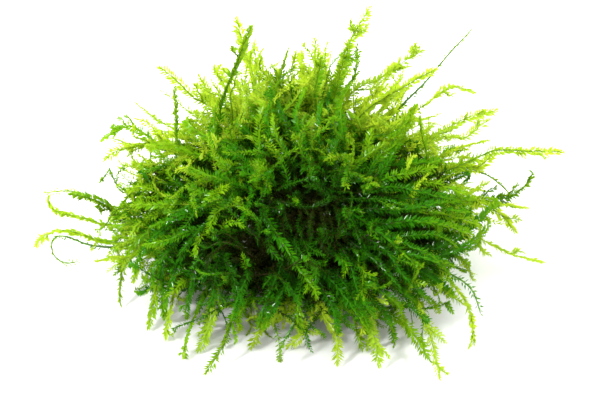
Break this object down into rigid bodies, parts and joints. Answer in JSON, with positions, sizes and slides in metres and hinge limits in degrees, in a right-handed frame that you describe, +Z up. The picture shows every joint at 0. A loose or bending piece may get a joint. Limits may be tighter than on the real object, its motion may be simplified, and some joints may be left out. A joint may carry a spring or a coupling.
{
  "type": "moss clump",
  "caption": "Loose clump of feathery creeping water moss lying on a flat underside, with pale shoots standing clear all round.",
  "frame": {"origin": "on the flat underside of the tangled mat, straight below the clump's old heart", "axes": "+X along the clump's longest spread, -Y towards its front, +Z up from the surface it lies on"},
  "size_m": [0.1024, 0.0795, 0.0601],
  "materials": {
    "packed_moss": "damp",
    "green_shoots": "damp, slightly glossy",
    "young_shoots": "damp, translucent",
    "old_stems": "damp, dull"
  },
  "bodies": {
    "root": {"tangled_mat": "packed_moss", "crown_tallest": "young_shoots", "crown_slender": "young_shoots", "crown_blunt": "green_shoots", "crown_back_tip": "young_shoots", "crown_broad": "green_shoots", "crown_short_dark": "old_stems", "crown_knotted": "green_shoots", "upper_left_tall": "green_shoots", "upper_left_fork": "young_shoots", "upper_left_curved": "young_shoots", "upper_left_stub": "young_shoots", "upper_left_fan": "young_shoots", "left_upright": "green_shoots", "left_arch_upper": "young_shoots", "left_feather": "young_shoots", "left_thin_reach": "young_shoots", "left_thick": "green_shoots", "left_hooked": "young_shoots", "left_longest": "young_shoots", "left_floor_curl": "old_stems", "left_drop": "green_shoots", "front_left_tuft": "green_shoots", "front_left_hanging": "young_shoots", "front_left_dark": "green_shoots", "front_left_pair": "young_shoots", "front_left_sweep": "green_shoots", "front_left_short": "young_shoots", "front_mid_hook": "young_shoots", "front_mid_hanging": "young_shoots", "front_right_pair": "green_shoots", "front_right_hanging": "young_shoots", "front_right_lean": "green_shoots", "front_right_longest": "young_shoots", "right_low_hook": "young_shoots", "right_low_loop": "old_stems", "right_long_low": "young_shoots", "right_bent_tip": "young_shoots", "right_pointed": "young_shoots", "right_raised": "green_shoots", "right_runner_low": "old_stems", "right_blade": "young_shoots", "right_long_high": "young_shoots", "right_arch": "young_shoots", "right_arch_under": "young_shoots", "upper_right_upright": "green_shoots", "upper_right_dark": "green_shoots", "upper_right_wire": "old_stems", "upper_right_plume": "young_shoots", "upper_right_plume_low": "young_shoots", "back_right_arch": "young_shoots", "back_right_low": "green_shoots", "back_right_tuft": "young_shoots", "back_hanging": "green_shoots", "back_runner": "old_stems", "back_plume": "young_shoots", "back_left_sweep": "young_shoots", "back_left_low": "green_shoots", "back_left_arch": "green_shoots"}
  },
  "joints": []
}
